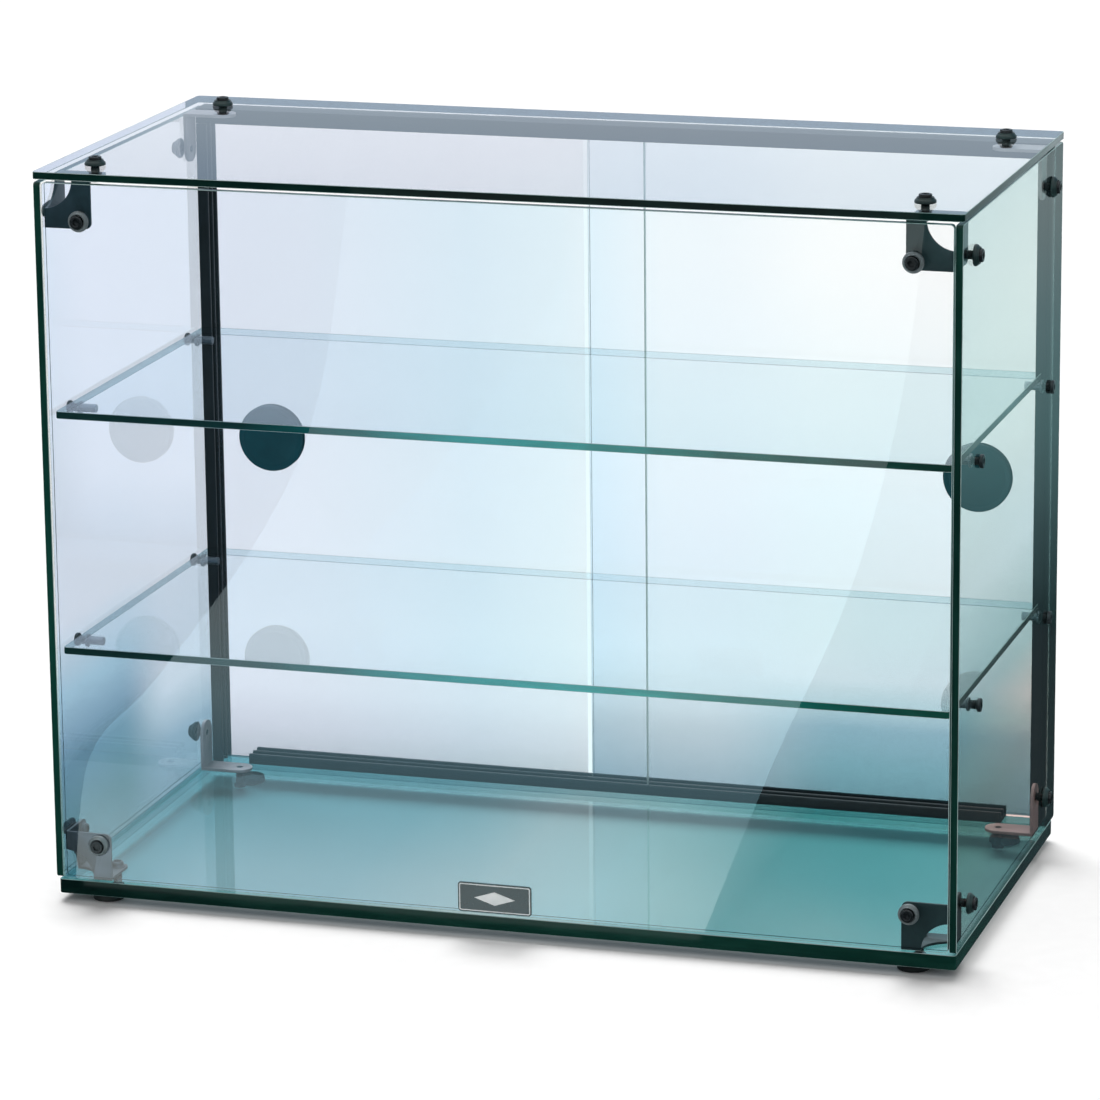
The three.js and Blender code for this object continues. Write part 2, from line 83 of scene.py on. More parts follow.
# ---------- node helpers ----------
class Shader:
    """A material or world being built from nodes."""

    def __init__(self, name, world=False):
        kinds = bpy.data.worlds if world else bpy.data.materials
        self.data = kinds.new(name)
        self.data.use_nodes = True
        self.tree = self.data.node_tree
        self.tree.nodes.clear()
        self.out = self.add("OutputWorld" if world else "OutputMaterial")
        self.coords = None

    def add(self, kind, *inputs, **settings):
        node = self.tree.nodes.new("ShaderNode" + kind)
        for key, value in settings.items():
            setattr(node, key, value)
        for socket, value in inputs:
            self.put(node.inputs[socket], value)
        return node

    def put(self, socket, value):
        if isinstance(value, bpy.types.NodeSocket):
            self.tree.links.new(value, socket)
        else:
            socket.default_value = value

    def place(self):
        if self.coords is None:
            self.coords = self.add("TexCoord").outputs["Object"]
        return self.coords

    def along(self, axis):
        return self.add("SeparateXYZ", (0, self.place())).outputs[axis]

    def spread(self, value, low, high, to_low=0.0, to_high=1.0, kind="LINEAR"):
        node = self.add(
            "MapRange", (0, value), (1, low), (2, high), (3, to_low), (4, to_high),
            interpolation_type=kind,
        )
        return node.outputs[0]

    def math(self, operation, a, b=0.0):
        return self.add("Math", (0, a), (1, b), operation=operation).outputs[0]

    def noise(self, scale, detail=2.0, stretch=(1.0, 1.0, 1.0)):
        mapping = self.add("Mapping", ("Vector", self.place()), ("Scale", stretch))
        node = self.add(
            "TexNoise", ("Vector", mapping.outputs[0]), ("Scale", scale),
            ("Detail", detail), ("Roughness", 0.5),
        )
        return node.outputs[0]

    def ramp(self, value, stops):
        node = self.add("ValToRGB", (0, value))
        steps = node.color_ramp.elements
        while len(steps) < len(stops):
            steps.new(0.5)
        for step, (position, color) in zip(steps, stops):
            step.position = position
            step.color = (*color, 1.0)
        return node.outputs[0]

    def blend(self, factor, a, b, mode="MIX"):
        node = self.add("Mix", data_type="RGBA", blend_type=mode)
        self.put(node.inputs[0], factor)
        self.put(node.inputs[6], a)
        self.put(node.inputs[7], b)
        return node.outputs[2]

    def bump(self, height, distance, strength=1.0):
        node = self.add("Bump", ("Strength", strength), ("Distance", distance), ("Height", height))
        return node.outputs[0]

    def finish(self, shader):
        self.tree.links.new(shader, self.out.inputs[0])
        return self.data


def rgb(r, g, b):
    return (r, g, b, 1.0)


# ---------- materials ----------
GLASS_IOR = 1.5
MOST_MIRROR = 0.9

# Places, in metres, where the colour of the glass changes: its painted shade and painted reflection, and the
# light let through the base.
BASE_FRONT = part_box("base_glass")[0].y
TRACK_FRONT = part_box("bottom_track")[0].y
SIDE_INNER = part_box("right_side_glass")[0].x
SHELF_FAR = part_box("upper_shelf")[1]
DOORS_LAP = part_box("right_door_glass")[0].x
FRONT_LIP = (BASE_FRONT + 0.0153, BASE_FRONT + 0.0453)
BEHIND = (TRACK_FRONT - 0.0007, TRACK_FRONT + 0.0033)
BESIDE = (SIDE_INNER - 0.0122, SIDE_INNER - 0.0012)
SHELF_ENDS = (SHELF_FAR.x - 0.0007, SHELF_FAR.x - 0.0002)
REAR_EDGES = (SHELF_FAR.y - 0.0007, SHELF_FAR.y - 0.0005)
ACROSS = (-0.37, 0.37)
TOP_ACROSS = (-0.375, 0.375)
LEFT_SIDE_TURN = (-0.05, 0.07)
RIGHT_SIDE_REAR = (0.154, 0.156)
LEFT_DOOR_TURN = (DOORS_LAP - 0.001, DOORS_LAP)
RIGHT_DOOR_TURN = (0.07, 0.20)


def pane_faces(name, tint_and_painted_light, gloss=1.0, far=None, shade=None):
    """Thin clear glass: what is behind shows through a tint, and both faces' mirror image lies over it.

    The tint is the glass's faint own colour with painted reflection and painted shade from its ramps.
    far is (axis, low, high, stops): over that stretch of the axis the painted light turns into the stops up
    Z.
    shade is the tint of the light that falls through on to the floor, darker under the front lip, and painted
    shade on the glass by its outer edges, seen from inside."""
    s = Shader(name)
    tint = s.ramp(s.noise(2.2, 3.0), [(0.3, (0.98, 0.985, 0.985)), (0.7, (1.0, 1.0, 1.0))])
    # Painted reflection and painted shade, ramped along the axes, over the glass's faint own tint.
    for axis, low, high, stops in tint_and_painted_light:
        tint = s.blend(1.0, tint, s.ramp(s.spread(s.along(axis), low, high), stops), "MULTIPLY")
    # Over far's stretch of its axis the painted light turns into other stops up Z.
    if far:
        axis, low, high, stops = far
        other = s.ramp(s.spread(s.along(Z), PANE_LOW, PANE_HIGH), stops)
        tint = s.blend(s.spread(s.along(axis), low, high, kind="SMOOTHSTEP"), tint, other)
    if shade:
        path = s.add("LightPath")
        falling = s.math("MAXIMUM", path.outputs["Is Shadow Ray"], path.outputs["Is Diffuse Ray"])
        lip = s.spread(s.along(Y), *FRONT_LIP)
        tint = s.blend(falling, tint, s.blend(lip, rgb(0.06, 0.08, 0.09), rgb(*shade)))
    inside = s.add("NewGeometry").outputs["Backfacing"]
    below = rgb(1, 1, 1)
    # Painted shade: from inside, the base glass darkens what shows through it near its rear and side edges.
    if shade:
        behind = s.spread(s.along(Y), *BEHIND)
        beside = s.spread(s.math("ABSOLUTE", s.along(X)), *BESIDE)
        below = s.blend(s.math("MAXIMUM", behind, beside), below, rgb(*shade))
    through = s.add("BsdfTransparent", ("Color", s.blend(inside, tint, below)))
    facing = s.add("Fresnel", ("IOR", GLASS_IOR)).outputs[0]
    both = s.math("DIVIDE", s.math("MULTIPLY", facing, 2.0), s.math("ADD", facing, 1.0))
    outside = s.math("SUBTRACT", 1.0, inside)
    share = s.math("MULTIPLY", s.math("MINIMUM", s.math("MULTIPLY", both, gloss), MOST_MIRROR), outside)
    mirror = s.add("BsdfAnisotropic", ("Color", rgb(1, 1, 1)), ("Roughness", 0.0))
    mix = s.add("MixShader", (0, share), (1, through.outputs[0]), (2, mirror.outputs[0]))
    return s.finish(mix.outputs[0])


def glass_edge(name, dark, bright, stretch, rough=0.1, inner=((1, 1, 1), (1, 1, 1)), along=None, ends=None):
    """The deep colour of a polished edge, streaked along its length.

    From inside the glass it is clear, tinted with inner's first colour and, at the rear, its second: a
    painted reflection of what the edge would mirror.
    along is painted light from a shelf's left to its right, brighter in the middle and darker towards the
    ends, and ends is the colour of its two end faces, and their tint from inside."""
    s = Shader(name)
    streaks = s.noise(11.0, 3.0, stretch)
    fine = s.noise(160.0, 2.0, stretch)
    color = s.ramp(streaks, [(0.36, dark), (0.66, bright)])
    color = s.blend(0.25, color, s.ramp(fine, [(0.4, dark), (0.7, bright)]))
    # Painted light along a shelf edge: brighter in the middle, darker towards its ends.
    if along:
        color = s.blend(1.0, color, s.ramp(s.spread(s.along(X), *ACROSS), along), "MULTIPLY")
    if ends:
        across = s.math("ABSOLUTE", s.along(X))
        at_ends = s.spread(across, *SHELF_ENDS)
        color = s.blend(at_ends, color, rgb(*ends[0]))
    wear = s.spread(fine, 0.3, 0.8, rough, rough + 0.12)
    bsdf = s.add(
        "BsdfPrincipled", ("Base Color", color), ("Roughness", wear), ("Specular IOR Level", 0.16),
        ("Normal", s.bump(fine, 0.00005, 0.4)),
    )
    # From inside, the see-through takes the inner tints, a painted reflection of what the edge would mirror.
    inside = s.add("NewGeometry").outputs["Backfacing"]
    at_rear = s.spread(s.along(Y), *REAR_EDGES)
    tint = s.blend(at_rear, rgb(*inner[0]), rgb(*inner[1]))
    if ends:
        tint = s.blend(at_ends, tint, rgb(*ends[1]))
    clear = s.add("BsdfTransparent", ("Color", tint))
    mix = s.add("MixShader", (0, inside), (1, bsdf.outputs[0]), (2, clear.outputs[0]))
    return s.finish(mix.outputs[0])


def solid(name, dark, bright, rough, metallic=0.0, grain=220.0, stretch=(1, 1, 1), depth=0.00003,
          wear_and_painted_sheen=0.1, coat=0.0, specular=0.5):
    """An opaque finish with cloudy colour, a fine grain and a little wear in its shine."""
    s = Shader(name)
    clouds = s.noise(38.0, 3.0)
    fine = s.noise(grain, 4.0, stretch)
    color = s.ramp(clouds, [(0.35, dark), (0.68, bright)])
    color = s.blend(0.3, color, s.ramp(fine, [(0.3, dark), (0.75, bright)]))
    gloss = s.spread(fine, 0.25, 0.8, rough, rough + wear_and_painted_sheen)
    bsdf = s.add(
        "BsdfPrincipled", ("Base Color", color), ("Metallic", metallic), ("Roughness", gloss),
        ("Coat Weight", coat), ("Coat Roughness", 0.08), ("Specular IOR Level", specular),
        ("Normal", s.bump(fine, depth)),
    )
    return s.finish(bsdf.outputs[0])


def make_materials():
    m = {}
    # The ramps of every pane are painted reflection and painted shade over the glass's faint own tint: bands
    # across the top, base, front and shelves, and changes up the sides and doors, darkest low down on the
    # left side and the doors.
    m["top"] = pane_faces("glass_top", [(X, *TOP_ACROSS, [
        (0.0, (0.92, 0.93, 0.99)), (0.45, (0.93, 0.94, 0.98)), (0.6, (0.93, 0.97, 0.99)),
        (1.0, (0.93, 0.98, 0.99))])], 0.8)
    m["base"] = pane_faces("glass_base", [(X, *ACROSS, [
        (0.0, (0.22, 0.76, 0.82)), (0.3, (0.38, 0.84, 0.90)), (0.46, (0.74, 1.0, 1.0)),
        (0.58, (0.50, 0.96, 1.0)), (0.74, (0.13, 0.66, 0.68)), (1.0, (0.28, 0.90, 0.92))])], 0.6,
        shade=(0.44, 0.45, 0.45))
    m["front"] = pane_faces("glass_front", [
        (X, *ACROSS, [
            (0.0, (0.80, 0.86, 0.99)), (0.3, (0.78, 0.875, 0.98)), (0.48, (0.73, 0.89, 0.98)),
            (0.58, (0.78, 0.94, 1.0)), (0.69, (0.94, 1.0, 1.0)), (1.0, (0.98, 0.99, 0.99))]),
    ])
    m["left_side"] = pane_faces("glass_left_side", [(Z, PANE_LOW, PANE_HIGH, [
        (0.0, (0.16, 0.34, 0.36)), (0.07, (0.16, 0.34, 0.36)), (0.155, (0.19, 0.36, 0.44)),
        (0.2, (0.36, 0.56, 0.66)), (0.26, (0.56, 0.80, 0.88)), (0.36, (0.96, 0.98, 0.98)),
        (1.0, (1.0, 1.0, 0.99))])], 1.0, (Y, *LEFT_SIDE_TURN, [
        (0.0, (0.26, 0.44, 0.50)), (0.08, (0.38, 0.54, 0.62)), (0.16, (0.84, 0.90, 0.92)),
        (0.3, (0.98, 0.98, 0.98)), (1.0, (1.0, 1.0, 0.99))]))
    m["right_side"] = pane_faces("glass_right_side", [
        (Z, PANE_LOW, PANE_HIGH, [
            (0.05, (1.0, 0.74, 0.70)), (0.17, (0.89, 0.69, 0.60)), (0.24, (0.78, 0.73, 0.65)),
            (0.32, (0.52, 0.67, 0.65)), (0.48, (0.81, 0.89, 0.88)), (0.62, (0.80, 0.87, 0.83)),
            (0.80, (0.75, 0.85, 0.82)), (1.0, (0.60, 0.74, 0.74))]),
        # Painted shade at the rear of the right side pane.
        (Y, *RIGHT_SIDE_REAR, [(0.0, (1.0, 1.0, 1.0)), (1.0, (0.10, 0.16, 0.16))]),
    ], 0.5)
    m["shelf"] = pane_faces("glass_shelf", [(X, *ACROSS, [
        (0.0, (0.92, 0.97, 0.985)), (0.4, (0.95, 0.985, 0.99)), (0.7, (0.90, 0.98, 0.97)),
        (1.0, (0.86, 0.95, 0.94))])], 0.8)
    m["left_door"] = pane_faces("glass_left_door", [(Z, PANE_LOW, PANE_HIGH, [
        (0.0, (0.54, 0.52, 0.52)), (0.06, (0.72, 0.68, 0.70)), (0.12, (0.84, 0.81, 0.82)),
        (0.22, (0.92, 0.90, 0.90)), (0.6, (0.93, 0.91, 0.92)), (1.0, (0.97, 0.94, 0.95))])], 0.35,
        (X, *LEFT_DOOR_TURN, [(0.0, (1.0, 1.0, 1.0)), (1.0, (1.0, 1.0, 1.0))]))
    m["right_door"] = pane_faces("glass_right_door", [(Z, PANE_LOW, PANE_HIGH, [
        (0.0, (0.27, 0.36, 0.42)), (0.10, (0.46, 0.52, 0.58)), (0.13, (0.56, 0.64, 0.70)),
        (0.22, (0.70, 0.79, 0.87)), (0.4, (0.78, 0.84, 0.92)), (0.55, (0.84, 0.89, 0.95)),
        (0.8, (0.91, 0.93, 0.97))])], 0.35, (X, *RIGHT_DOOR_TURN, [
        (0.0, (0.13, 0.28, 0.33)), (0.06, (0.19, 0.38, 0.45)), (0.115, (0.26, 0.44, 0.53)),
        (0.15, (0.44, 0.61, 0.68)), (0.19, (0.69, 0.75, 0.81)), (0.26, (0.72, 0.82, 0.86)),
        (0.45, (0.78, 0.89, 0.94)), (0.8, (0.98, 0.98, 0.98))]))
    # The inner tints of the edges and the arris are painted reflection: what each edge would mirror from
    # inside the glass.
    m["edge_dark"] = glass_edge("edge_dark", (0.001, 0.010, 0.008), (0.006, 0.070, 0.052), (1, 1, 0.15))
    m["edge_base"] = glass_edge("edge_base", (0.001, 0.010, 0.009), (0.006, 0.055, 0.040), (0.15, 0.15, 1),
                                inner=((0.30, 0.34, 0.35), (0.30, 0.34, 0.35)))
    m["edge_top"] = glass_edge("edge_top", (0.001, 0.008, 0.008), (0.004, 0.040, 0.030), (0.15, 0.15, 1),
                               inner=((0.80, 0.82, 0.90), (0.08, 0.13, 0.19)))
    m["edge_right"] = glass_edge("edge_right", (0.001, 0.010, 0.008), (0.006, 0.060, 0.045), (1, 1, 0.15),
                                 inner=((1, 1, 1), (0.05, 0.09, 0.09)))
    m["edge_shelf"] = glass_edge("edge_shelf", (0.000, 0.115, 0.100), (0.004, 0.37, 0.32), (0.2, 0.2, 1),
                                 inner=((0.72, 0.84, 0.84), (0.80, 0.88, 0.90)),
                                 # along is painted light on the shelf edges: brighter in the middle, darker
                                 # towards both ends.
                                 ends=((0.10, 0.125, 0.125), (0.34, 0.46, 0.48)), along=[
        (0.0, (0.10, 0.10, 0.09)), (0.22, (0.16, 0.16, 0.17)), (0.32, (0.50, 0.50, 0.55)),
        (0.46, (1.35, 1.35, 1.45)), (0.60, (1.40, 1.40, 1.50)), (0.76, (0.66, 0.66, 0.64)),
        (0.92, (0.30, 0.30, 0.25)), (1.0, (0.20, 0.20, 0.15))])
    m["edge_door"] = glass_edge("edge_door", (0.42, 0.60, 0.60), (0.75, 0.88, 0.88), (1, 1, 0.2), 0.3)
    m["arris"] = glass_edge("arris", (0.20, 0.34, 0.33), (0.42, 0.54, 0.54), (0.4, 0.4, 0.4), 0.25,
                            inner=((0.10, 0.20, 0.22), (0.12, 0.18, 0.22)))
    m["corner"] = solid("corner_steel", (0.006, 0.028, 0.032), (0.014, 0.050, 0.056), 0.34,
                        metallic=0.25, coat=0.15)
    # A lighter copy of the corner finish: painted reflection on the bottom left front bracket.
    m["bright_corner"] = solid("bright_corner_steel", (0.035, 0.055, 0.06), (0.11, 0.13, 0.135), 0.30,
                               metallic=0.6, grain=420.0, stretch=(1, 1, 0.1))
    m["washer"] = solid("washer_steel", (0.09, 0.12, 0.13), (0.20, 0.235, 0.24), 0.34,
                        metallic=0.3, grain=300.0, depth=0.00001)
    # A darker copy of the washer finish: painted shade on the top and side washers.
    m["dark_washer"] = solid("dark_washer_steel", (0.004, 0.018, 0.018), (0.014, 0.042, 0.042), 0.28,
                             metallic=0.2, grain=300.0, depth=0.00001)
    m["cap"] = solid("cap_screw", (0.006, 0.010, 0.012), (0.02, 0.026, 0.03), 0.22, metallic=0.4)
    m["strip"] = solid("strip_steel", (0.24, 0.225, 0.225), (0.38, 0.36, 0.36), 0.36, metallic=0.35,
                       grain=420.0, depth=0.000004)
    m["pin"] = solid("pin_steel", (0.14, 0.16, 0.18), (0.30, 0.33, 0.35), 0.25, metallic=0.9,
                     grain=500.0, stretch=(0.2, 1, 1))
    m["pin_head"] = solid("pin_head", (0.012, 0.022, 0.026), (0.04, 0.055, 0.06), 0.26, metallic=0.5)
    m["rubber"] = solid("foot_rubber", (0.004, 0.006, 0.006), (0.012, 0.015, 0.015), 0.62,
                        grain=700.0, depth=0.00008, specular=0.3)
    m["track"] = solid("track_plastic", (0.003, 0.007, 0.009), (0.010, 0.018, 0.021), 0.34,
                       grain=500.0, stretch=(0.02, 1, 1), wear_and_painted_sheen=0.14, specular=0.25)
    m["post"] = solid("post_plastic", (0.002, 0.006, 0.008), (0.007, 0.014, 0.017), 0.30,
                      grain=500.0, stretch=(1, 1, 0.02), wear_and_painted_sheen=0.14, specular=0.22)
    m["pull"] = solid("pull_plastic", (0.000, 0.056, 0.072), (0.001, 0.076, 0.094), 0.28,
                      grain=900.0, depth=0.00001, specular=0.15)
    m["badge"] = solid("badge_plastic", (0.003, 0.020, 0.026), (0.006, 0.032, 0.040), 0.20, coat=0.4)
    m["badge_pale"] = solid("badge_pale", (0.74, 0.80, 0.80), (0.92, 0.95, 0.95), 0.35)
    return m


# ---------- mesh helpers, in millimetres ----------
def circle(cx, cy, radius, steps):
    angles = (2 * math.pi * i / steps for i in range(steps))
    return [(cx + radius * math.cos(a), cy + radius * math.sin(a)) for a in angles]


def arc(cx, cy, radius, start, end, steps):
    """Points on an arc, its angles in degrees, both ends included."""
    angles = (math.radians(start + (end - start) * i / steps) for i in range(steps + 1))
    return [(cx + radius * math.cos(a), cy + radius * math.sin(a)) for a in angles]


def rounded_rect(cx, cy, w, h, r, steps=5):
    points = []
    for i, (sx, sy) in enumerate([(1, 1), (-1, 1), (-1, -1), (1, -1)]):
        points += arc(cx + sx * (w / 2 - r), cy + sy * (h / 2 - r), r, 90 * i, 90 * (i + 1), steps)
    return points


def stack(bm, levels, to_space, cap_index=0, wall_indices=None):
    """A closed solid through levels, each (outline, holes, height), with flat caps."""
    rings = []
    for outline, holes, w in levels:
        loops = [[bm.verts.new(to_space(p[0], p[1], w)) for p in loop] for loop in [outline, *holes]]
        rings.append(loops)
    for i, (lower, upper) in enumerate(zip(rings, rings[1:])):
        for a, b in zip(lower, upper):
            for j in range(len(a)):
                k = (j + 1) % len(a)
                face = bm.faces.new((a[j], a[k], b[k], b[j]))
                face.material_index = wall_indices[i] if wall_indices else cap_index
    for loops, (outline, holes, w) in ((rings[0], levels[0]), (rings[-1], levels[-1])):
        flat = [[Vector((p[0], p[1], 0.0)) for p in loop] for loop in [outline, *holes]]
        verts = [v for loop in loops for v in loop]
        for triple in tessellate_polygon(flat):
            face = bm.faces.new([verts[i] for i in triple])
            face.material_index = cap_index


def hex_radius(half_flats, angle):
    sixth = math.pi / 3
    return half_flats / math.cos((angle % sixth) - sixth / 2)


def lathe(bm, profile, steps=48, matrix=None):
    """Turns profile points (radius, height, material) about Z; a negative radius is a hexagon."""
    matrix = matrix or Matrix.Identity(4)
    rings = []
    for r, z, *_ in profile:
        if r == 0:
            rings.append([bm.verts.new(matrix @ Vector((0, 0, z)))])
            continue
        ring = []
        for i in range(steps):
            angle = 2 * math.pi * i / steps
            radius = r if r > 0 else hex_radius(-r, angle)
            point = Vector((radius * math.cos(angle), radius * math.sin(angle), z))
            ring.append(bm.verts.new(matrix @ point))
        rings.append(ring)
    for (a, b), point in zip(zip(rings, rings[1:]), profile[1:]):
        index = point[2] if len(point) > 2 else 0
        for i in range(steps):
            j = (i + 1) % steps
            corners = [a[i % len(a)], a[j % len(a)], b[j % len(b)], b[i % len(b)]]
            unique = list(dict.fromkeys(corners))
            if len(unique) > 2:
                bm.faces.new(unique).material_index = index


def finished_mesh(bm, name):
    bmesh.ops.recalc_face_normals(bm, faces=bm.faces)
    mesh = bpy.data.meshes.new(name)
    bm.to_mesh(mesh)
    bm.free()
    return mesh


def bare_object(mesh, name):
    obj = bpy.data.objects.new(name, mesh)
    bpy.context.scene.collection.objects.link(obj)
    return obj


def add_mesh(name, mesh, materials, body="root", nodes=(), sharp=32.0, matrix=None):
    """Makes the mesh an object in metres that rides on a body and stands for CAD nodes."""
    mesh.transform(Matrix.Scale(MM, 4) if matrix is None else matrix @ Matrix.Scale(MM, 4))
    if matrix is not None and matrix.determinant() < 0:
        mesh.flip_normals()
    for material in materials:
        mesh.materials.append(material)
    mesh.polygons.foreach_set("use_smooth", [True] * len(mesh.polygons))
    mesh.set_sharp_from_angle(angle=math.radians(sharp))
    piece = bare_object(mesh, name)
    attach(piece, body)
    if nodes:
        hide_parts(*nodes)
    return piece


def add_piece(name, bm, materials, body="root", nodes=(), sharp=32.0):
    """Makes such an object from a solid that was drawn in place, in millimetres."""
    return add_mesh(name, finished_mesh(bm, name), materials, body, nodes, sharp)


def centre(node):
    low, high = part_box(node)
    return (low + high) / 2


def box_mm(node):
    low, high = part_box(node)
    return low / MM, high / MM


# ---------- glass ----------
GLASS_T = 6.0
GLASS_HOLE_R = 3.4
GLASS_HOLE_STEPS = 20
PULL_HOLE_R = 24.5
PULL_HOLE_STEPS = 72
ARRIS = 0.4
CORNER_R = 3.0


def glass_pane(name, node, axis, materials, through=(), body="root", pull=None, shades=False):
    """A pane with a ground arris round its outline and a hole for each node that passes it.

    pull is the node that fills a door's large hole."""
    low, high = box_mm(node)
    u, v = (axis + 1) % 3, (axis + 2) % 3

    def to_space(a, b, w):
        point = [0.0, 0.0, 0.0]
        point[u], point[v], point[axis] = a, b, w
        return Vector(point)

    size_u, size_v = high[u] - low[u], high[v] - low[v]
    mid = (low + high) / 2
    spots = [(centre(n) / MM, GLASS_HOLE_R, GLASS_HOLE_STEPS) for n in through]
    if pull:
        spots.append((centre(pull) / MM, PULL_HOLE_R, PULL_HOLE_STEPS))

    def level(inset, w):
        outline = rounded_rect(mid[u], mid[v], size_u - 2 * inset, size_v - 2 * inset, CORNER_R - inset)
        holes = [circle(c[u], c[v], r + inset / 2, steps) for c, r, steps in spots]
        return outline, holes, w

    bm = bmesh.new()
    levels = [
        level(ARRIS, low[axis]), level(0.0, low[axis] + ARRIS),
        level(0.0, high[axis] - ARRIS), level(ARRIS, high[axis]),
    ]
    stack(bm, levels, to_space, 0, (2, 1, 2))
    piece = add_piece(name, bm, materials, body, [node], sharp=20.0)
    if not shades:
        piece.visible_shadow = False
        piece.visible_diffuse = False
    return piece


def make_panes(m):
    tops = [f"{end}_{side}_top_screw" for end in ENDS for side in SIDES]
    bases = [f"{end}_{side}_base_screw" for end in ENDS for side in SIDES]
    glass_pane("top_pane", "top_glass", Z, (m["top"], m["edge_top"], m["arris"]), tops)
    glass_pane("base_pane", "base_glass", Z, (m["base"], m["edge_base"], m["arris"]), bases,
               shades=True)
    fronts = [f"{side}_{level}_front_screw" for side in SIDES for level in LEVELS]
    glass_pane("front_pane", "front_glass", Y, (m["front"], m["edge_dark"], m["arris"]), fronts)
    for side in SIDES:
        across = [f"{end}_{side}_{level}_side_screw" for end in ENDS for level in LEVELS]
        across += [f"{level}_{end}_{side}_shelf_pin" for end in ENDS for level in LEVELS]
        edge = m["edge_right"] if side == "right" else m["edge_dark"]
        finish = (m[f"{side}_side"], edge, m["arris"])
        glass_pane(f"{side}_side_pane", f"{side}_side_glass", X, finish, across)
        finish = (m[f"{side}_door"], m["edge_door"], m["arris"])
        glass_pane(f"{side}_door_pane", f"{side}_door_glass", Y, finish,
                   body=f"{side}_door", pull=f"{side}_pull_cup")
    for level in LEVELS:
        finish = (m["shelf"], m["edge_shelf"], m["arris"])
        glass_pane(f"{level}_shelf_pane", f"{level}_shelf", Z, finish)


# ---------- brackets ----------
SEAT = 0.4
BRACKET_LEG = 39.5
BRACKET_CUT_R = 24.0
BRACKET_T = 2.0
BRACKET_CORNER_R = 5.0
HOLE_INSET = 32.0
BRACKET_HOLE_R = 3.1
NUT_R = 5.0
NUT_H = 4.5
NUT_FLANGE_R = 6.2
NUT_BORE_R = BRACKET_HOLE_R + 0.01
NUT_SINK = 0.5
WELD = 1e-4
STRIP_W = 22.0
STRIP_T = 2.5


def loose_part(bm, name):
    return bare_object(finished_mesh(bm, name), name)


def joined(parts, bevel):
    """One mesh from overlapping solids, with every sharp edge rounded."""
    whole = parts[0]
    for other in parts[1:]:
        cut = whole.modifiers.new("join", "BOOLEAN")
        cut.operation = "UNION"
        cut.solver = "EXACT"
        cut.object = other
    soften = whole.modifiers.new("soften", "BEVEL")
    soften.width = bevel
    soften.segments = 2
    soften.limit_method = "ANGLE"
    soften.angle_limit = math.radians(40)
    graph = bpy.context.evaluated_depsgraph_get()
    mesh = bpy.data.meshes.new_from_object(whole.evaluated_get(graph))
    for part in parts:
        bpy.data.objects.remove(part)
    return mesh


def turned_axes(times):
    """Local X, Y, Z become Y, Z, X for each turn, so one plate serves all three faces."""
    turn = Matrix(((0, 0, 1), (1, 0, 0), (0, 1, 0))).to_4x4()
    whole = Matrix.Identity(4)
    for _ in range(times):
        whole = turn @ whole
    return whole


def corner_bracket_mesh():
    parts = []
    leg = BRACKET_LEG
    start = math.degrees(math.asin(SEAT / BRACKET_CUT_R))
    outline = [(leg, SEAT)]
    outline += arc(leg - BRACKET_CORNER_R, leg - BRACKET_CORNER_R, BRACKET_CORNER_R, 0, 90, 8)
    outline += [(SEAT, leg)]
    outline += arc(0, 0, BRACKET_CUT_R, 90 - start, start, 24)
    hole = circle(HOLE_INSET, HOLE_INSET, BRACKET_HOLE_R, 24)
    for times in range(3):
        matrix = turned_axes(times)
        bm = bmesh.new()
        levels = [(outline, [hole], SEAT), (outline, [hole], SEAT + BRACKET_T)]
        stack(bm, levels, lambda x, y, z: matrix @ Vector((x, y, z)))
        parts.append(loose_part(bm, f"plate_{times}"))
        bm = bmesh.new()
        low = SEAT + BRACKET_T - NUT_SINK
        top = low + NUT_SINK + NUT_H
        place = matrix @ Matrix.Translation((HOLE_INSET, HOLE_INSET, 0))
        lathe(bm, [
            (NUT_BORE_R, low), (NUT_FLANGE_R, low), (NUT_FLANGE_R, low + 1.1), (NUT_R, low + 1.7),
            (NUT_R, top - 1.2), (NUT_R - 1.0, top), (NUT_BORE_R, top), (NUT_BORE_R, low),
        ], 36, place)
        bmesh.ops.remove_doubles(bm, verts=bm.verts, dist=WELD)
        parts.append(loose_part(bm, f"nut_{times}"))
    return joined(parts, 0.35)


def strip_bracket_mesh():
    half = STRIP_W / 2
    outline = [(SEAT, -half)] + arc(HOLE_INSET, 0, half, -90, 90, 20) + [(SEAT, half)]
    hole = circle(HOLE_INSET, 0, BRACKET_HOLE_R, 24)
    levels = [(outline, [hole], SEAT), (outline, [hole], SEAT + STRIP_T)]
    parts = []
    for name, matrix in (
        ("flat", Matrix.Identity(4)),
        ("upright", Matrix(((0, 0, 1), (0, 1, 0), (1, 0, 0))).to_4x4()),
    ):
        bm = bmesh.new()
        stack(bm, levels, lambda x, y, z: matrix @ Vector((x, y, z)))
        parts.append(loose_part(bm, name))
    return joined(parts, 0.5)


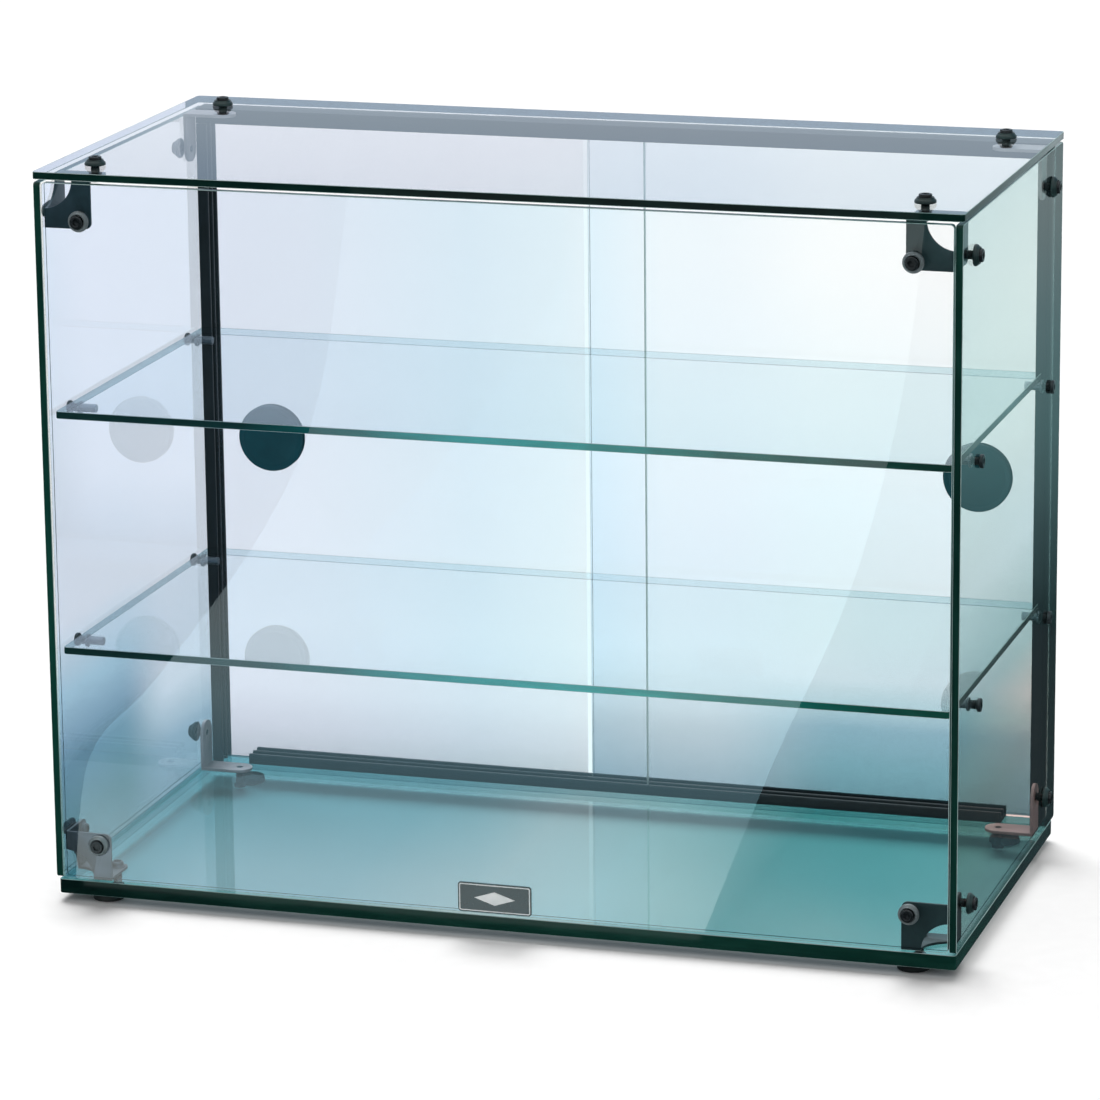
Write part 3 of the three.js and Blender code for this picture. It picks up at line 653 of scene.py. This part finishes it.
def make_brackets(m):
    corner = corner_bracket_mesh()
    strip = strip_bracket_mesh()
    base_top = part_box("base_glass")[1].z
    top_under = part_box("top_glass")[0].z
    side_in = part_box("right_side_glass")[0].x
    front_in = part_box("front_glass")[1].y
    for side, sign in SIDES.items():
        for level, z, up in (("bottom", base_top, 1), ("top", top_under, -1)):
            place = Matrix.Translation((sign * side_in, front_in, z)) @ Matrix.Diagonal((-sign, 1, up, 1))
            # The bottom left front bracket takes the lighter copy of the corner finish, a painted reflection.
            wear_and_painted_sheen = (level, side) == ("bottom", "left")
            finish = m["bright_corner"] if wear_and_painted_sheen else m["corner"]
            add_mesh(f"front_{level}_{side}_plate", corner.copy(), [finish],
                     nodes=[f"front_{level}_{side}_bracket"], matrix=place)
            rear_y = centre(f"rear_{level}_{side}_bracket").y
            place = Matrix.Translation((sign * side_in, rear_y, z)) @ Matrix.Diagonal((-sign, 1, up, 1))
            add_mesh(f"rear_{level}_{side}_strip", strip.copy(), [m["strip"]],
                     nodes=[f"rear_{level}_{side}_bracket"], matrix=place)


# ---------- screws, feet and pins ----------
WASHER_R = 8.5
WASHER_H = 4.5
CAP_R = 5.2
CAP_H = 2.5
CAP_SOCKET = 2.4
SHANK_R = 2.7
WASHER_BORE_R = SHANK_R + 0.4
PROUD = SEAT + WASHER_H + CAP_H
FOOT_HOLLOW_R = 4.9
FOOT_HOLLOW_DEPTH = 0.5
FOOT_GROOVE_R = 8.6
FOOT_GROOVE_DEPTH = 0.35
PIN_GAP = 0.3
PIN_HEAD_H = 3.0
PIN_HEAD_R = 5.5
PIN_SOCKET = 1.95
PIN_COLLAR_R = 5.5
PIN_COLLAR_T = 2.0
PIN_PEG_R = 3.5
PIN_STEM_R = 2.6
PIN_INNER = -(PIN_HEAD_H + PIN_GAP) - GLASS_T - PIN_GAP


def outward(axis, sign):
    """Turns local +Z to the given world axis and sign."""
    direction = [0.0, 0.0, 0.0]
    direction[axis] = sign
    return Vector(direction).to_track_quat("Z", "Y").to_matrix().to_4x4()


def washer_profile():
    low = SEAT
    high = SEAT + WASHER_H
    return [
        (WASHER_BORE_R, low + 0.8), (6.2, low), (WASHER_R - 0.5, low),
        *arc(WASHER_R - 0.5, low + 0.5, 0.5, -90, 0, 3),
        *arc(WASHER_R - 2.6, low + 1.0, 2.6, 12, 62, 6),
        (6.6, high), (6.0, high), (5.5, high - 0.7), (5.45, low + 2.2), (WASHER_BORE_R, low + 2.0),
        (WASHER_BORE_R, low + 0.8),
    ]


def cap_profile(reach):
    top = PROUD
    seat = SEAT + 2.1
    return [
        (0, -reach), (SHANK_R - 0.5, -reach), (SHANK_R, -reach + 0.5), (SHANK_R, seat),
        (CAP_R, seat), (CAP_R, top - 0.9), *arc(CAP_R - 0.9, top - 0.9, 0.9, 0, 90, 4)[1:],
        (3.3, top), (3.05, top - 0.25), (-CAP_SOCKET - 0.05, top - 0.35), (-CAP_SOCKET, top - 2.4),
        (CAP_SOCKET / 2, top - 2.6), (0, top - 3.0),
    ]


def make_screws(m):
    for side, sign in SIDES.items():
        places = []
        for end in ENDS:
            places.append((f"{end}_{side}_top_screw", Z, 1))
            for level in LEVELS:
                places.append((f"{end}_{side}_{level}_side_screw", X, sign))
        for level in LEVELS:
            places.append((f"{side}_{level}_front_screw", Y, -1))
        for node, axis, way in places:
            low, high = box_mm(node)
            spot = (low + high) / 2
            outer = high[axis] if way > 0 else low[axis]
            inner = low[axis] if way > 0 else high[axis]
            reach = abs(outer - inner) - PROUD
            spot[axis] = outer - way * PROUD
            place = Matrix.Translation(spot) @ outward(axis, way)
            bm = bmesh.new()
            lathe(bm, cap_profile(reach), 36, place)
            add_piece(node + "_cap", bm, [m["cap"]], nodes=[node])
            bm = bmesh.new()
            lathe(bm, washer_profile(), 48, place)
            bmesh.ops.remove_doubles(bm, verts=bm.verts, dist=WELD)
            # Top and side washers take the darker copy of the washer finish, painted shade.
            ring = m["washer"] if axis == Y else m["dark_washer"]
            add_piece(node + "_washer", bm, [ring], sharp=50.0)


def foot_profile(radius, height):
    return [
        (0, FOOT_HOLLOW_DEPTH), (FOOT_HOLLOW_R - 0.5, FOOT_HOLLOW_DEPTH), (FOOT_HOLLOW_R, 0.0),
        (FOOT_GROOVE_R, 0.0), (FOOT_GROOVE_R + 0.3, FOOT_GROOVE_DEPTH),
        (FOOT_GROOVE_R + 1.0, FOOT_GROOVE_DEPTH), (FOOT_GROOVE_R + 1.3, 0.0),
        *arc(radius - 1.2, 1.2, 1.2, -90, 0, 5), (radius - 0.5, height * 0.55),
        (radius - 0.9, height - 0.7), *arc(radius - 1.5, height - 0.6, 0.6, 0, 90, 3), (0, height),
    ]


def make_feet(m):
    for side in SIDES:
        for end in ENDS:
            node = f"{end}_{side}_foot"
            low, high = box_mm(node)
            spot = (low + high) / 2
            spot.z = low.z
            profile = foot_profile((high.x - low.x) / 2, high.z - low.z)
            bm = bmesh.new()
            lathe(bm, profile, 56, Matrix.Translation(spot))
            add_piece(f"{node}_pad", bm, [m["rubber"]], nodes=[node])
            base_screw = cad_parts[f"{end}_{side}_base_screw"].data
            base_screw.materials.clear()
            base_screw.materials.append(m["cap"])


def pin_profile(length):
    """The peg and collar inside the case, the stem through its side pane, and the head outside."""
    peg, collar, head = PIN_PEG_R - 0.6, PIN_COLLAR_R - 0.6, PIN_HEAD_R - 0.9
    step = PIN_INNER - PIN_COLLAR_T
    return [
        (0, -length), (peg, -length), *arc(peg, -length + 0.6, 0.6, -90, 0, 3), (PIN_PEG_R, step),
        (collar, step), *arc(collar, step + 0.6, 0.6, -90, 0, 3), (PIN_COLLAR_R, PIN_INNER),
        (PIN_STEM_R, PIN_INNER), (PIN_STEM_R, -PIN_HEAD_H, 1), (PIN_HEAD_R - 0.4, -PIN_HEAD_H, 1),
        (PIN_HEAD_R, -2.6, 1), (PIN_HEAD_R, -0.9, 1),
        *[(r, z, 1) for r, z in arc(head, -0.9, 0.9, 0, 90, 4)[1:]],
        (3.0, 0.0, 1), (2.7, -0.25, 1), (-PIN_SOCKET - 0.05, -0.35, 1), (-PIN_SOCKET, -1.9, 1),
        (0, -2.3, 1),
    ]


def make_pins(m):
    for side, sign in SIDES.items():
        for level in LEVELS:
            for end in ENDS:
                node = f"{level}_{end}_{side}_shelf_pin"
                low, high = box_mm(node)
                spot = (low + high) / 2
                spot.x = high.x if sign > 0 else low.x
                bm = bmesh.new()
                lathe(bm, pin_profile(high.x - low.x), 36, Matrix.Translation(spot) @ outward(X, sign))
                add_piece(node + "_stud", bm, [m["pin"], m["pin_head"]], nodes=[node])


# ---------- tracks and posts ----------
TRACK_D = 24.0
GROOVE_W = 6.6
RIB_W = (TRACK_D - 2 * GROOVE_W) / 3
RIB_TOP_R = 1.1
WEB_R = 0.5
FILLET = 0.6
END_INSET = 0.25
END_BEVEL = 0.3
BOTTOM_WEB = 3.5
TOP_WEB = 2.5
POST_WEB = 3.0


def track_section(height, floor):
    """Two grooves between three round-topped ribs, its web rounded at the foot."""
    points = arc(TRACK_D - WEB_R, WEB_R, WEB_R, -90, 0, 3)
    for rib in (2, 1, 0):
        low = rib * (RIB_W + GROOVE_W)
        high = low + RIB_W
        if rib < 2:
            points += [(high + FILLET, floor), (high, floor + FILLET)]
        points += arc(high - RIB_TOP_R, height - RIB_TOP_R, RIB_TOP_R, 0, 90, 4)
        points += arc(low + RIB_TOP_R, height - RIB_TOP_R, RIB_TOP_R, 90, 180, 4)
        if rib > 0:
            points += [(low, floor + FILLET), (low - FILLET, floor)]
    points += arc(WEB_R, WEB_R, WEB_R, 180, 270, 3)
    return points


def extruded(name, node, section, axis, flip, material):
    """The section along an axis through the whole box of the node; its local Y points off the web."""
    low, high = box_mm(node)
    bm = bmesh.new()

    def to_space(a, b, w):
        if axis == X:
            z = high.z - b if flip else low.z + b
            return Vector((w, low.y + a, z))
        x = high.x - b if flip else low.x + b
        return Vector((x, low.y + a, w))

    start, end = low[axis], high[axis]
    narrow = (TRACK_D - 2 * END_INSET) / TRACK_D
    inset = [(END_INSET + a * narrow, b) for a, b in section]
    stack(bm, [
        (inset, [], start), (section, [], start + END_BEVEL),
        (section, [], end - END_BEVEL), (inset, [], end),
    ], to_space)
    return add_piece(name, bm, [material], nodes=[node], sharp=30.0)


def make_tracks(m):
    for end, web, flip in (("bottom", BOTTOM_WEB, False), ("top", TOP_WEB, True)):
        low, high = box_mm(f"{end}_track")
        section = track_section(high.z - low.z, web)
        extruded(f"{end}_rail", f"{end}_track", section, X, flip, m["track"])
    for side, sign in SIDES.items():
        low, high = box_mm(f"{side}_post")
        section = track_section(high.x - low.x, POST_WEB)
        extruded(f"{side}_upright", f"{side}_post", section, Z, sign > 0, m["post"])


# ---------- door pulls and badge ----------
DOOR_HALF = 2.5
PULL_GAP = 0.3
PULL_FACE = DOOR_HALF + PULL_GAP
PULL_RISE = 1.6
PULL_STEPS = 112
CUP_RIM_R = 28.8
CUP_NECK_R = 24.0
CUP_WELL_R = 21.3
CUP_FLOOR = -1.3
CUP_RING = (12.6, 14.2)
CUP_RING_H = 0.3
COVER_R = 29.0


def cup_profile():
    """A flanged cup pressed into the door, its finger well ringed at the floor."""
    top = PULL_FACE + PULL_RISE
    rim = CUP_RIM_R
    ring_in, ring_out = CUP_RING
    ring_top = CUP_FLOOR + CUP_RING_H
    return [
        (0, -DOOR_HALF), (CUP_NECK_R, -DOOR_HALF), (CUP_NECK_R, PULL_FACE), (rim - 0.2, PULL_FACE),
        *arc(rim - 0.6, PULL_FACE + 0.6, 0.6, -60, 0, 3), *arc(rim - 1.2, top - 0.6, 0.6, 30, 90, 4),
        (rim - 2.4, top), (rim - 2.7, top - 0.25), (rim - 3.3, top - 0.25), (rim - 3.6, top),
        *arc(rim - 6.0, top - 0.8, 0.8, 90, 180, 4), (CUP_WELL_R, -0.6),
        *arc(CUP_WELL_R - 0.8, -0.5, 0.8, 0, -90, 3), (ring_out, CUP_FLOOR),
        (ring_out - 0.3, ring_top), (ring_in + 0.3, ring_top), (ring_in, CUP_FLOOR), (0, CUP_FLOOR),
    ]


def cover_profile():
    """A flat plate over the hole, with a shallow groove near its rim."""
    low = -PULL_FACE - PULL_RISE
    rim = COVER_R
    return [
        (0, low + 0.25), (rim - 5.8, low + 0.25), (rim - 5.2, low + 0.45), (rim - 4.4, low + 0.45),
        (rim - 3.8, low), (rim - 1.4, low), *arc(rim - 1.3, low + 1.0, 1.0, -80, 0, 5),
        (rim, -PULL_FACE), (0, -PULL_FACE),
    ]


def make_pulls(m):
    for side in SIDES:
        low, high = box_mm(f"{side}_pull_cup")
        spot = (low + high) / 2
        spot.y = centre(f"{side}_door_glass").y / MM
        place = Matrix.Translation(spot) @ Matrix.Rotation(-math.pi / 2, 4, "X")
        for name, node, profile in (
            ("finger_cup", "pull_cup", cup_profile()),
            ("cover_disc", "pull_cover", cover_profile()),
        ):
            bm = bmesh.new()
            lathe(bm, profile, PULL_STEPS, place)
            add_piece(f"{side}_{name}", bm, [m["pull"]], f"{side}_door",
                      [f"{side}_{node}"], sharp=40.0)


BADGE_R = 2.5
BORDER_OUT = 1.1
BORDER_IN = 1.9
LOZENGE_W = 17.0
LOZENGE_H = 5.6


def make_badge(m):
    low, high = box_mm("badge_plate")
    w, h = high.x - low.x, high.z - low.z
    mid = (low + high) / 2
    depth = high.y - low.y

    def to_space(a, b, lift):
        return Vector((mid.x + a, high.y - lift, mid.z + b))

    def ring(inset):
        return rounded_rect(0, 0, w - 2 * inset, h - 2 * inset, max(BADGE_R - inset, 0.4), 6)

    bm = bmesh.new()
    stack(bm, [
        (ring(0.15), [], 0.0), (ring(0.0), [], 0.15),
        (ring(0.0), [], depth - 0.55), (ring(0.3), [], depth - 0.35),
    ], to_space)
    add_piece("badge_body", bm, [m["badge"]], nodes=["badge_plate"])
    bm = bmesh.new()
    stack(bm, [
        (ring(BORDER_OUT), [ring(BORDER_IN)], depth - 0.34),
        (ring(BORDER_OUT), [ring(BORDER_IN)], depth - 0.15),
        (ring(BORDER_OUT + 0.1), [ring(BORDER_IN - 0.1)], depth - 0.05),
    ], to_space)
    add_piece("badge_border", bm, [m["badge_pale"]])
    bm = bmesh.new()

    def lozenge(grow):
        across, up = LOZENGE_W + grow, LOZENGE_H + grow
        return [(across, 0), (0, up), (-across, 0), (0, -up)]

    stack(bm, [
        (lozenge(0.0), [], depth - 0.34), (lozenge(0.0), [], depth - 0.12), (lozenge(-0.3), [], depth),
    ], to_space)
    add_piece("badge_lozenge", bm, [m["badge_pale"]])


# ---------- stage and light ----------
FLOOR_HALF = 40.0
SWEEP_Y = 0.85
SWEEP_HALF = 4.0
SWEEP_FOOT = 0.002
COOL_FROM = (-0.36, -0.24)
COOL_UNTIL = (0.0, 0.08)
WING_FROM = (0.36, 0.50)
CARD_Y = -0.215
CARD_FOOT = 0.001
CARD_TOP = 0.615
CARD_RAMP_FOOT = 0.03
KEY_STRENGTH = 3.2
KEY_ANGLE = 46
KEY_FROM = (-0.30, 0.75, 1.0)
SOFT_STRENGTH = 0.36


def flat_stage(name, corners, material):
    mesh = bpy.data.meshes.new(name)
    mesh.from_pydata([Vector(c) for c in corners], [], [tuple(range(len(corners)))])
    mesh.materials.append(material)
    sheet = bare_object(mesh, name)
    return sheet


def flowing(points, steps=6):
    """A smooth curve through the points."""
    guides = [Vector(p) for p in (points[0], *points, points[-1])]
    path = []
    for a, b, c, d in zip(guides, guides[1:], guides[2:], guides[3:]):
        for step in range(steps):
            t = step / steps
            path.append(b + 0.5 * t * (c - a + t * (2 * a - 5 * b + 4 * c - d + t * (3 * b - 3 * c + d - a))))
    return path + [guides[-1]]


def reflected_only(sheet):
    """The sheet lights nothing and is seen only in shiny surfaces."""
    sheet.visible_camera = False
    sheet.visible_diffuse = False
    sheet.visible_transmission = False
    sheet.visible_shadow = False


def make_floor():
    s = Shader("floor_paper")
    speck = s.ramp(s.noise(60.0, 3.0), [(0.3, (0.925, 0.925, 0.925)), (0.7, (0.945, 0.945, 0.945))])
    paper = s.add("BsdfDiffuse", ("Color", speck))
    table = s.add("Emission", ("Color", rgb(0.050, 0.080, 0.090)))
    shiny = s.add("LightPath").outputs["Is Glossy Ray"]
    mix = s.add("MixShader", (0, shiny), (1, paper.outputs[0]), (2, table.outputs[0]))
    half = FLOOR_HALF
    flat_stage("floor", [(-half, -half, 0), (half, -half, 0), (half, half, 0), (-half, half, 0)],
               s.finish(mix.outputs[0]))


def make_sweep():
    """The wall behind the case, as its panes and metal mirror it."""
    s = Shader("sweep_light")
    height = s.spread(s.along(Z), 0.0, 1.0)
    cool = s.ramp(height, [
        (0.0, (0.05, 0.09, 0.10)), (0.10, (0.18, 0.30, 0.33)), (0.20, (0.34, 0.58, 0.62)),
        (0.30, (0.50, 0.72, 0.78)), (0.42, (0.80, 0.90, 0.95)), (0.62, (0.78, 0.88, 0.95)),
        (0.80, (0.40, 0.52, 0.66))])
    pale = s.ramp(height, [
        (0.0, (0.10, 0.16, 0.20)), (0.05, (0.50, 0.60, 0.68)), (0.10, (0.88, 0.92, 0.96)),
        (0.45, (0.93, 0.95, 0.98)), (0.62, (0.80, 0.88, 0.95)), (0.80, (0.40, 0.52, 0.66))])
    rise = s.spread(s.along(X), *COOL_FROM, kind="SMOOTHSTEP")
    fall = s.spread(s.along(X), *COOL_UNTIL, 1.0, 0.0, kind="SMOOTHSTEP")
    glow = s.blend(s.math("MULTIPLY", rise, fall), cool, pale)
    wing = s.spread(s.along(X), *WING_FROM, kind="SMOOTHSTEP")
    glow = s.blend(wing, glow, s.blend(1.0, glow, rgb(0.66, 0.76, 0.74), "MULTIPLY"))
    light = s.add("Emission", ("Color", glow), ("Strength", 1.0))
    half, y, foot = SWEEP_HALF, SWEEP_Y, SWEEP_FOOT
    sweep = flat_stage("sweep", [(-half, y, foot), (half, y, foot), (half, y, half), (-half, y, half)],
                       s.finish(light.outputs[0]))
    reflected_only(sweep)


def make_card():
    """The pale card in front of the case, whose mirror image lies over the front glass."""
    s = Shader("card_light")
    glow = s.ramp(s.spread(s.along(Z), CARD_RAMP_FOOT, CARD_TOP), [
        (0.0, (1.5, 1.7, 1.7)), (0.10, (0.7, 0.95, 1.0)), (0.16, (0.5, 0.95, 1.15)), (0.25, (0.9, 1.35, 1.5)),
        (0.36, (1.0, 1.25, 1.3)), (0.5, (0.8, 0.95, 1.0)), (0.9, (0.5, 0.55, 0.55))])
    light = s.add("Emission", ("Color", glow), ("Strength", 1.0))
    rising = flowing([(0.16, CARD_FOOT), (0.22, 0.155), (0.28, 0.295), (0.32, 0.45), (0.34, CARD_TOP)])
    falling = flowing([
        (-0.12, CARD_TOP), (-0.15, 0.43), (-0.20, 0.315), (-0.295, 0.185), (-0.355, 0.115),
        (-0.372, CARD_FOOT),
    ])
    card = flat_stage("card", [(x, CARD_Y, z) for x, z in rising + falling], s.finish(light.outputs[0]))
    reflected_only(card)


def make_world():
    """White to the camera, a graded sky to shiny surfaces, and a soft even light to the rest."""
    s = Shader("studio", world=True)
    up = s.add("SeparateXYZ", (0, s.add("TexCoord").outputs["Generated"])).outputs[2]
    sky = s.ramp(s.spread(up, -0.1, 1.0), [
        (0.0, (0.75, 0.80, 0.85)), (0.3, (0.55, 0.60, 0.64)), (0.7, (1.0, 1.0, 1.0)),
        (1.0, (1.25, 1.25, 1.25))])
    plain_white = s.add("Background", ("Color", rgb(1, 1, 1)), ("Strength", 1.0))
    shiny_sky = s.add("Background", ("Color", sky), ("Strength", 1.0))
    soft = s.add("Background", ("Color", rgb(1, 1, 1)), ("Strength", SOFT_STRENGTH))
    path = s.add("LightPath")
    glossy, camera = path.outputs["Is Glossy Ray"], path.outputs["Is Camera Ray"]
    lit = s.add("MixShader", (0, glossy), (1, soft.outputs[0]), (2, shiny_sky.outputs[0]))
    seen = s.add("MixShader", (0, camera), (1, lit.outputs[0]), (2, plain_white.outputs[0]))
    bpy.context.scene.world = s.finish(seen.outputs[0])


def make_key():
    lamp = bpy.data.lights.new("key", "SUN")
    lamp.energy = KEY_STRENGTH
    lamp.angle = math.radians(KEY_ANGLE)
    key = bpy.data.objects.new("key", lamp)
    key.matrix_world = Vector(KEY_FROM).to_track_quat("Z", "Y").to_matrix().to_4x4()
    bpy.context.scene.collection.objects.link(key)


def set_look():
    scene = bpy.context.scene
    scene.view_settings.view_transform = "Standard"
    scene.cycles.transparent_max_bounces = 96
    scene.cycles.max_bounces = 16
    scene.cycles.glossy_bounces = 8


make_camera()
materials = make_materials()
make_panes(materials)
make_brackets(materials)
make_screws(materials)
make_feet(materials)
make_pins(materials)
make_tracks(materials)
make_pulls(materials)
make_badge(materials)
make_floor()
make_sweep()
make_card()
make_world()
make_key()
set_look()
